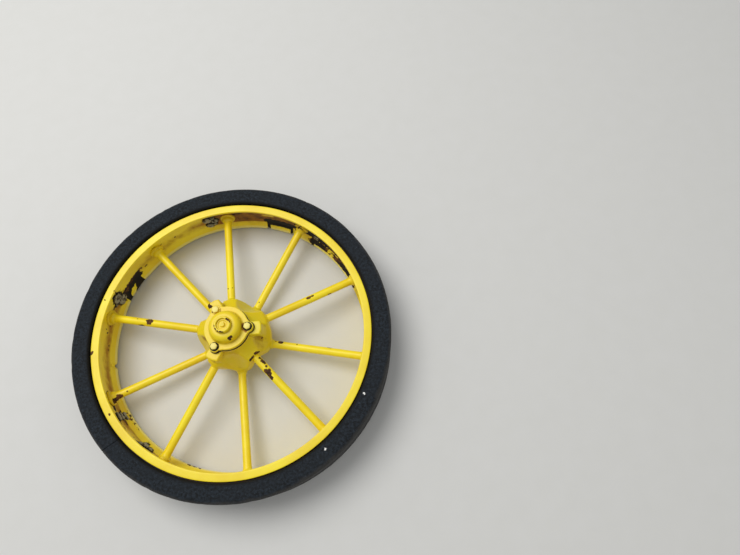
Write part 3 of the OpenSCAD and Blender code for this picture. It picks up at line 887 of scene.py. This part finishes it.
# Chips of each spoke: distance from its root and length in mm, angle round it in degrees from the
# side towards the next lower number, radius in mm and strength
SPOKE_WEAR = {
    1: [(47.5, 1.5, 55, 1.6, 0.9), (47.5, 1.5, 126, 1.4, 0.9)],
    2: [(36, 2, 86, 1.4, 0.8), (217, 3, 20, 7, 0.9), (222, 2, 90, 7, 0.9)],
    3: [(115, 4, 75, 2.8, 1.1), (125, 2, 76, 2, 1.1), (158, 5, 165, 2, 0.9),
        (211.8, 0.5, 44, 2, 0.9)],
    4: [(38, 4, 50, 3.2, 1.1), (29, 0.5, 42, 1.5, 1), (75, 0.5, 52, 1.4, 1),
        (140, 6, 20, 2.2, 0.9)],
    5: [(23, 1.5, 46, 2.6, 0.9), (31.5, 6, 46, 3.6, 0.9), (44.5, 1, 62, 2.6, 0.9),
        (52, 8, 106, 4.6, 1.1), (54, 2, 66, 2.6, 1.1), (62, 8, 124, 3.6, 1.1)],
    8: [(202.7, 0.5, 41, 2.6, 1.1), (208, 2, 48, 4.4, 1.2), (214, 2, 40, 5, 1.2),
        (219, 2, 30, 6, 1.1), (189.6, 0.5, 71, 1.6, 1.1)],
    9: [(128, 6, 108, 4.4, 1.1), (130, 3, 78, 3.4, 1.1), (138, 1, 112, 2, 1),
        (159.7, 1, 120, 1.7, 0.9), (146, 9, 15, 2.6, 0.9), (215, 0.5, 140, 2.2, 1),
        (221, 1, 50, 3, 0.7)],
    10: [(9, 5, 90, 7, 1.1)],
}
# Height in metres of the front row of roots, with the odd numbers, and of the rear row
FRONT_ROW, REAR_ROW = 0.074, 0.028


def spoke_frame(number, sizes):
    """Where spoke number 1 to 10 starts, and its directions outwards, sideways and up."""
    angle = math.radians(spoke_angle(number))
    out = Vector((math.cos(angle), math.sin(angle), 0))
    side = Vector((-math.sin(angle), math.cos(angle), 0))
    row = FRONT_ROW if number % 2 else REAR_ROW
    slope = (sizes.tyre_width / 2 - row) / (sizes.web_radius - sizes.root_radius)
    along = (out + Vector((0, 0, slope))).normalized()
    return out * sizes.root_radius + Vector((0, 0, row)), along, side, along.cross(side)


class WHEEL_OT_spokes(bpy.types.Operator):
    """Builds the ten round spokes with their shoulders at the rim"""
    bl_idname = "wheel.spokes"
    bl_label = "Spokes"

    def execute(self, context):
        sizes = context.scene.wheel_sizes
        # What one mm of the table is outwards from the axis, and across the spoke
        outwards = (sizes.web_radius - sizes.root_radius) / WEB_AT
        across = sizes.spoke_radius / 8
        stations = [Vector(SPOKE_SHAPE[0])]
        for start, end in zip(SPOKE_SHAPE, SPOKE_SHAPE[1:]):
            start, end = Vector(start), Vector(end)
            parts = max(1, math.ceil((end - start).length / 2.0))
            stations += [start.lerp(end, s / parts) for s in range(1, parts + 1)]
        for number in range(1, 11):
            name = "spoke_%02d" % number
            start, along, side, up = spoke_frame(number, sizes)
            step = along * (outwards / math.hypot(along.x, along.y))
            bow = up * random.Random(number).uniform(-0.0006, 0.0006)
            rings = [(start + step * far + bow * math.sin(math.pi * far / COLLAR_AT), wide * across)
                     for far, wide in stations]
            mesh = bar(name + "_bar", rings, side, up, 40)
            fix = bmesh.new()
            fix.from_mesh(mesh)
            bmesh.ops.recalc_face_normals(fix, faces=fix.faces)
            fix.to_mesh(mesh)
            fix.free()
            mesh.shade_smooth()
            piece = placed(name + "_bar", mesh)
            places = points_of(piece)
            push(piece, waves(places, 0.03, number) * 0.00018)
            spots = []
            for far, length, angle, radius, strength in SPOKE_WEAR.get(number, ()):
                turn = math.radians(angle)
                skin = start + (side * math.cos(turn) + up * math.sin(turn)) * sizes.spoke_radius
                spots.append(((skin + step * far) / MM, (skin + step * (far + length)) / MM,
                              radius, strength))
            far = (places - np.array(start)) @ np.array(along)
            paint(piece, wear=nearness(places, spots), grime=0.35 * rise(far, 0.205, 0.225))
            finish_with(piece, wheel_paint("enamel_sprayed_on_rolled_steel"), name)
        return {"FINISHED"}


# Hub

HUB_WEAR = [
    ((57, -17.4, 77), (57.6, -21, 72), 3.4, 0.9), ((61, -17.8, 80), (61.6, -19, 77), 3.2, 0.85),
    ((62, -18.4, 64), (63, -19.4, 60), 3.2, 0.85), ((57, -21.4, 72), (58, -22.6, 69), 3, 0.85),
    ((46.6, -54, 86), (50, -52.6, 85), 3.4, 1.1), ((54, -50.4, 83.6), (55.4, -49.4, 82), 3.2, 1.1),
    ((39, -60.4, 84.6), (41.6, -59.4, 85), 3.2, 1),
    ((33.4, -63.6, 85), (34.8, -63.6, 84.6), 3, 1),
    ((-33, 48, 112), (-36, 50, 96), 5.5, 1.1), ((-31, 52, 108), (-36, 56, 90), 5, 1),
    ((-35, 55, 121.5), (-31, 50, 121), 4.5, 1.1), ((60, -19.4, 66), (60.6, -20, 64), 1.5, 1),
    ((61, -21, 79), (61.5, -21.5, 77), 1.3, 1),
]
# Brown stains on the casting, and painted shade under the cap's flange at the bottom
HUB_STAINS_AND_SHADE = [
    ((-46, -14, 112), (-56, -8, 92), 7, 1), ((-47, -22, 100), (-55, -32, 60), 10, 0.6),
    ((50, -22, 92), (56, -34, 78), 10, 0.5), ((-6, -46, 112), (8, -48, 106), 7, 0.4),
    ((-28, 55, 100), (-34, 58, 80), 9, 0.8),
]
# First and last angle in degrees, and depth in mm, of each place where the casting's edge falls
# short of the rest
HUB_SHORT = [(-76, -24, 6), (-123, -93, 4)]
# Angle of a pad in degrees, and how far its block reaches to either side of that, in mm
PAD_SIDES = [(114, -14, -6), (234, 6, 15.5), (354, -14.5, -6), (354, 6, 13)]


def root_boss(number, sizes):
    """A short collar of casting where a spoke leaves the hub, shortest at the worn spoke 5."""
    start, along, side, up = spoke_frame(number, sizes)
    end = 0.0185 if number == 5 else 0.0235
    rings = [(start + along * far, wide)
             for far, wide in ((0.004, 0.0094), (end, 0.0094), (end + 0.003, 0.0082))]
    return bar("root_%02d" % number, rings, side, up, 32)


def pad_side(angle, first, last):
    """A block that widens one of the pads under the cap's ears to one side."""
    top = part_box("hub")[1][2]
    turn = Matrix.Rotation(math.radians(angle), 4, "Z")
    corners = [(x * MM, y * MM) for x, y in ((44, first), (64, first), (64, last), (44, last))]
    points = [turn @ Vector((x, y, z)) for z in (top - 0.05, top) for x, y in corners]
    faces = [(3, 2, 1, 0), (4, 5, 6, 7), (0, 1, 5, 4), (1, 2, 6, 5), (2, 3, 7, 6), (3, 0, 4, 7)]
    return new_mesh("pad_side", points, faces)


class WHEEL_OT_hub(bpy.types.Operator):
    """Softens the hub's solid into the sand casting that it is"""
    bl_idname = "wheel.hub"
    bl_label = "Hub"

    def execute(self, context):
        sizes = context.scene.wheel_sizes
        added = [root_boss(number, sizes) for number in range(1, 11)]
        added += [pad_side(*row) for row in PAD_SIDES]
        piece = cast_copy("hub_casting", ["hub"], 0.0013, 4, added)
        places = points_of(piece)
        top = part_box("hub")[1][2]
        # The outside of the casting, and what lies below the pads' upper ends
        outer = rise(polar(places)[0], 0.0375, 0.0415)
        body = rise(places[:, 2], top - 0.006, top - 0.020)
        places = relaxed(piece, places, 0.5 * outer * body, 12)
        move_points(piece, places)
        # Each hollow of the pattern runs down to a spoke of the rear row
        dish_depth, boss_height = 0.0042, 0.0012
        for number in range(2, 11, 2):
            angle = spoke_angle(number)
            dish = nearness(places, marks([(angle, 58, 90, angle, 68, 58, 12, 1)]))
            boss = nearness(places, marks([(angle, 62, 30, angle, 72, 32, 8, 1)]))
            sunk = dish_depth * rounded_off(dish) - boss_height * boss
            places -= normals_of(piece) * (sunk * outer * body)[:, None]
        move_points(piece, places)
        wear = nearness(places, HUB_WEAR)
        radius, degrees = polar(places)
        for first, last, depth in HUB_SHORT:
            near = rise(past_stretch(degrees, first, last), 0, (first - last) / 2)
            pull = depth * MM * rounded_off(near) * rise(radius, 0.044, 0.064) * body
            places[:, :2] *= (1 - pull / radius)[:, None]
        move_points(piece, places)
        push(piece, outer * (waves(places, 0.02, 8) * 0.0004 + waves(places, 0.005, 9) * 0.00012))
        # Painted shade and soiling: the dark line in the gap where the gasket's edge meets the
        # casting
        gasket_line_shade = peak(polar(places)[0] - 0.0437, 0.0022) * (places[:, 2] > top - 0.002)
        # Chips, the gasket line's painted shade, and painted shade in the casting's hollows along
        # with the stains
        paint(piece, wear=np.maximum(wear, 0.8 * gasket_line_shade), char=0.8 * gasket_line_shade,
              grime=np.maximum(nearness(places, HUB_STAINS_AND_SHADE), 0.55 * hollows(piece, 20, 0.0007)))
        finish_with(piece, wheel_paint("enamel_on_cast_iron"), "hub")
        return {"FINISHED"}


# Cap

# Thickness of the flange, on which the bolts sit, and size of their heads across the flats
CAP_FLANGE, BOLT_ACROSS = 0.008, 0.0122
CAP_WEAR = [
    ((8.2, -26.4, 148), (13, -24.4, 148), 2.6, 1.1), ((10, -28, 145), (10.4, -28.8, 143.4), 2, 1.1),
    ((10, 8.6, 160), (13.2, 5.6, 160), 2, 1.1), ((14.6, 3.6, 160), (15.2, 1.8, 159.6), 1.6, 1),
    ((-15.5, -0.6, 159.6), (-15.4, -2, 159.6), 1.7, 1),
    ((-13.4, -7, 160), (-12.6, -8.4, 160), 2, 1.1),
    ((-10, -12.2, 159.4), (-9.2, -12.8, 159.2), 1.9, 1.1),
    ((-5.2, -15, 159.4), (0.4, -16, 158.4), 1.9, 1.1),
    ((-23, -42, 128), (-16, -43, 124), 2.6, 1.1), ((-19, -44, 124), (-12, -45, 123), 2, 1),
]
# Painted shade with soiling along the bolts' washers on the flange
CAP_SHADE_AND_GRIME = [
    ((30.6, -5, 131.6), (33.5, 1, 131.6), 2.6, 1.2),
    ((31.5, -8, 131.6), (37.9, -13.6, 131.6), 2.4, 1),
    ((-18.5, -36, 131.6), (-19, -31, 131.6), 2.6, 0.9),
    ((-10, 38, 131.6), (-10.5, 34, 131.6), 2.6, 0.8),
    ((-15.6, 31.6, 131.6), (-12, 33, 131.6), 2.6, 0.8),
]


def bolt_piece(name, place, seat, top, turn):
    """A hexagon head with softened edges on its washer, and its shank below."""
    washer, washer_thick, shank, shank_long = BOLT_ACROSS / 2 + 0.0026, 0.0016, 0.004, 0.024
    wide = BOLT_ACROSS / 2 / math.cos(math.radians(30))
    base = seat + 0.001
    head = bmesh.new()
    corners = [head.verts.new(on_rim(turn + 60 * k, wide, base)) for k in range(6)]
    grown = bmesh.ops.extrude_face_region(head, geom=[head.faces.new(corners)])
    tops = [v for v in grown["geom"] if isinstance(v, bmesh.types.BMVert)]
    bmesh.ops.translate(head, verts=tops, vec=(0, 0, top - base))
    bmesh.ops.recalc_face_normals(head, faces=head.faces)
    bmesh.ops.bevel(head, geom=head.edges[:], offset=0.0011, segments=3, profile=0.5,
                    affect="EDGES")
    for radius, low, high in ((washer, seat, seat + washer_thick),
                              (shank, seat - shank_long, seat)):
        disc = bmesh.ops.create_cone(
            head, cap_ends=True, segments=40, radius1=radius, radius2=radius, depth=high - low)
        bmesh.ops.translate(head, verts=disc["verts"], vec=(0, 0, (low + high) / 2))
    bmesh.ops.translate(head, verts=head.verts, vec=place)
    mesh = mesh_from(name, head)
    mesh.shade_smooth()
    mesh.set_sharp_from_angle(angle=math.radians(50))
    return placed(name, mesh)


class WHEEL_OT_cap(bpy.types.Operator):
    """Builds the bolted cap with its plug, gasket and bolts"""
    bl_idname = "wheel.cap"
    bl_label = "Cap"

    def execute(self, context):
        paint_on = wheel_paint("enamel_on_cast_iron")
        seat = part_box("hub_cap")[0][2] + CAP_FLANGE
        cap = cast_copy("cap_casting", ["hub_cap"], 0.0008, 4)
        places = points_of(cap)
        radius = polar(places)[0]
        # The fillets between the flange, the dome and its boss
        fillet = rise(radius, 0.037, 0.034) * rise(radius, 0.017, 0.020)
        places = relaxed(cap, places, 0.5 * fillet * (places[:, 2] > seat - 0.002), 22)
        move_points(cap, places)
        # Chips, painted shade with soiling round the bolts, and painted shade in the fillets'
        # hollows
        paint(cap, wear=nearness(places, CAP_WEAR),
              grime=np.maximum(nearness(places, CAP_SHADE_AND_GRIME), 0.5 * hollows(cap, 24, 0.0005)))
        finish_with(cap, paint_on, "hub_cap")
        plug = cast_copy("plug_softened", ["cap_plug"], 0.0005, 5)
        paint(plug, wear=0, grime=0.2)
        finish_with(plug, paint_on, "cap_plug")
        for k in (1, 2, 3):
            name = "cap_bolt_%d" % k
            low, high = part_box(name)
            middle = ((low[0] + high[0]) / 2, (low[1] + high[1]) / 2, 0)
            turn = random.Random(k).uniform(0, 60)
            bolt = bolt_piece(name + "_head", middle, seat, high[2], turn)
            height = points_of(bolt)[:, 2]
            washer = height < seat + 0.0022
            # Washers painted as rust and near-black scale together with the shade round each head's
            # foot, strongest on the two bolts at lower y; the foot darker towards the seat, the top
            # a paler coat
            bare, dark = (0.62, 0.7) if middle[1] < 0.02 else (0.4, 0.3)
            paint(bolt, wear=washer * bare, char=washer * dark,
                  grime=0.25 * (height < seat + 0.004), pale=0.5 * (height > high[2] - 0.0015))
            finish_with(bolt, paint_on, name)
        gasket = cast_copy("gasket_sheet", ["cap_gasket"], 0.0007, 1)
        places = points_of(gasket)
        proud = 0.0013 + waves(places, 0.012, 14) * 0.0008
        push(gasket, proud * rise(polar(places)[0], 0.040, 0.042))
        finish_with(gasket, oily_fibre(), "cap_gasket")
        return {"FINISHED"}


# Bearings and hidden steel

class WHEEL_OT_bearings(bpy.types.Operator):
    """Finishes the bearings, the seal and the tyre's base band"""
    bl_idname = "wheel.bearings"
    bl_label = "Bearings"

    def execute(self, context):
        steel = ground_steel()
        for name in ("rear_cup", "front_cup", "rear_cone", "front_cone", "rear_rollers",
                     "front_rollers", "rear_cage", "front_cage"):
            one_material(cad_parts[name], steel)
        one_material(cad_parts["dust_seal"],
                     rusted_steel("pressed_steel_seal", "#3A3531", "#6A5E50"))
        one_material(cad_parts["tyre_band"],
                     rusted_steel("rolled_band_rusted", "#1C1512", "#4A2E1C"))
        return {"FINISHED"}


# Stage

class WHEEL_OT_stage(bpy.types.Operator):
    """Lays the pale floor and sets the lamps and the camera"""
    bl_idname = "wheel.stage"
    bl_label = "Stage"

    def execute(self, context):
        scene = context.scene
        stage = scene.wheel_stage
        half, drop = 6.0, -0.0003
        corners = [(-half, -half, drop), (half, -half, drop), (half, half, drop),
                   (-half, half, drop)]
        floor = placed("floor", new_mesh("floor", corners, [(0, 1, 2, 3)], smooth=False))
        floor.data.materials.append(painted_board())
        for name, place, size, power in (
            ("key_lamp", (-1.0, 1.1, 3.1), 2.4, stage.key),
            ("fill_lamp", (1.9, -1.2, 2.2), 2.6, stage.fill),
        ):
            data = bpy.data.lights.new(name, "AREA")
            data.shape = "DISK"
            data.size = size
            data.energy = power
            lamp = placed(name, data)
            lamp.location = place
            aim = Vector((0, 0, 0.05)) - lamp.location
            lamp.rotation_euler = aim.to_track_quat("-Z", "Y").to_euler()
        world = bpy.data.worlds.new("studio")
        world.use_nodes = True
        sky = world.node_tree.nodes["Background"]
        sky.inputs["Color"].default_value = (*linear("#F4F6F8"), 1)
        sky.inputs["Strength"].default_value = 0.44
        scene.world = world
        data = bpy.data.cameras.new("camera")
        data.lens = stage.lens
        data.sensor_width = 36
        data.sensor_fit = "HORIZONTAL"
        data.clip_start = 0.02
        camera = placed("camera", data)
        place = Vector(stage.camera_place)
        aim = Vector(stage.camera_aim) - place
        turn = aim.to_track_quat("-Z", "Y").to_matrix() @ Matrix.Rotation(stage.camera_roll, 3, "Z")
        camera.matrix_world = Matrix.Translation(place) @ turn.to_4x4()
        scene.camera = camera
        scene.view_settings.view_transform = "Standard"
        return {"FINISHED"}


# Panel

class WHEEL_PT_panel(bpy.types.Panel):
    """Lists the sizes, the looks and each piece's button"""
    bl_idname = "WHEEL_PT_panel"
    bl_label = "Front wheel"
    bl_space_type = "VIEW_3D"
    bl_region_type = "UI"
    bl_category = "Wheel"

    def draw(self, context):
        scene = context.scene
        for group in (scene.wheel_sizes, scene.wheel_looks, scene.wheel_stage):
            box = self.layout.box()
            for name in group.__annotations__:
                box.prop(group, name)
        for operator in OPERATORS:
            self.layout.operator(operator.bl_idname)


SETTINGS = (WheelSizes, WheelLooks, StageSettings)
OPERATORS = (
    WHEEL_OT_tyre, WHEEL_OT_rim, WHEEL_OT_welds, WHEEL_OT_spokes, WHEEL_OT_hub, WHEEL_OT_cap,
    WHEEL_OT_bearings, WHEEL_OT_stage,
)


def register():
    for made in (*SETTINGS, *OPERATORS, WHEEL_PT_panel):
        bpy.utils.register_class(made)
    bpy.types.Scene.wheel_sizes = PointerProperty(type=WheelSizes)
    bpy.types.Scene.wheel_looks = PointerProperty(type=WheelLooks)
    bpy.types.Scene.wheel_stage = PointerProperty(type=StageSettings)


def unregister():
    del bpy.types.Scene.wheel_stage
    del bpy.types.Scene.wheel_looks
    del bpy.types.Scene.wheel_sizes
    for made in (WHEEL_PT_panel, *reversed(OPERATORS), *reversed(SETTINGS)):
        bpy.utils.unregister_class(made)


def main():
    register()
    for step in OPERATORS:
        group, name = step.bl_idname.split(".")
        getattr(getattr(bpy.ops, group), name)()


if __name__ == "__main__":
    main()
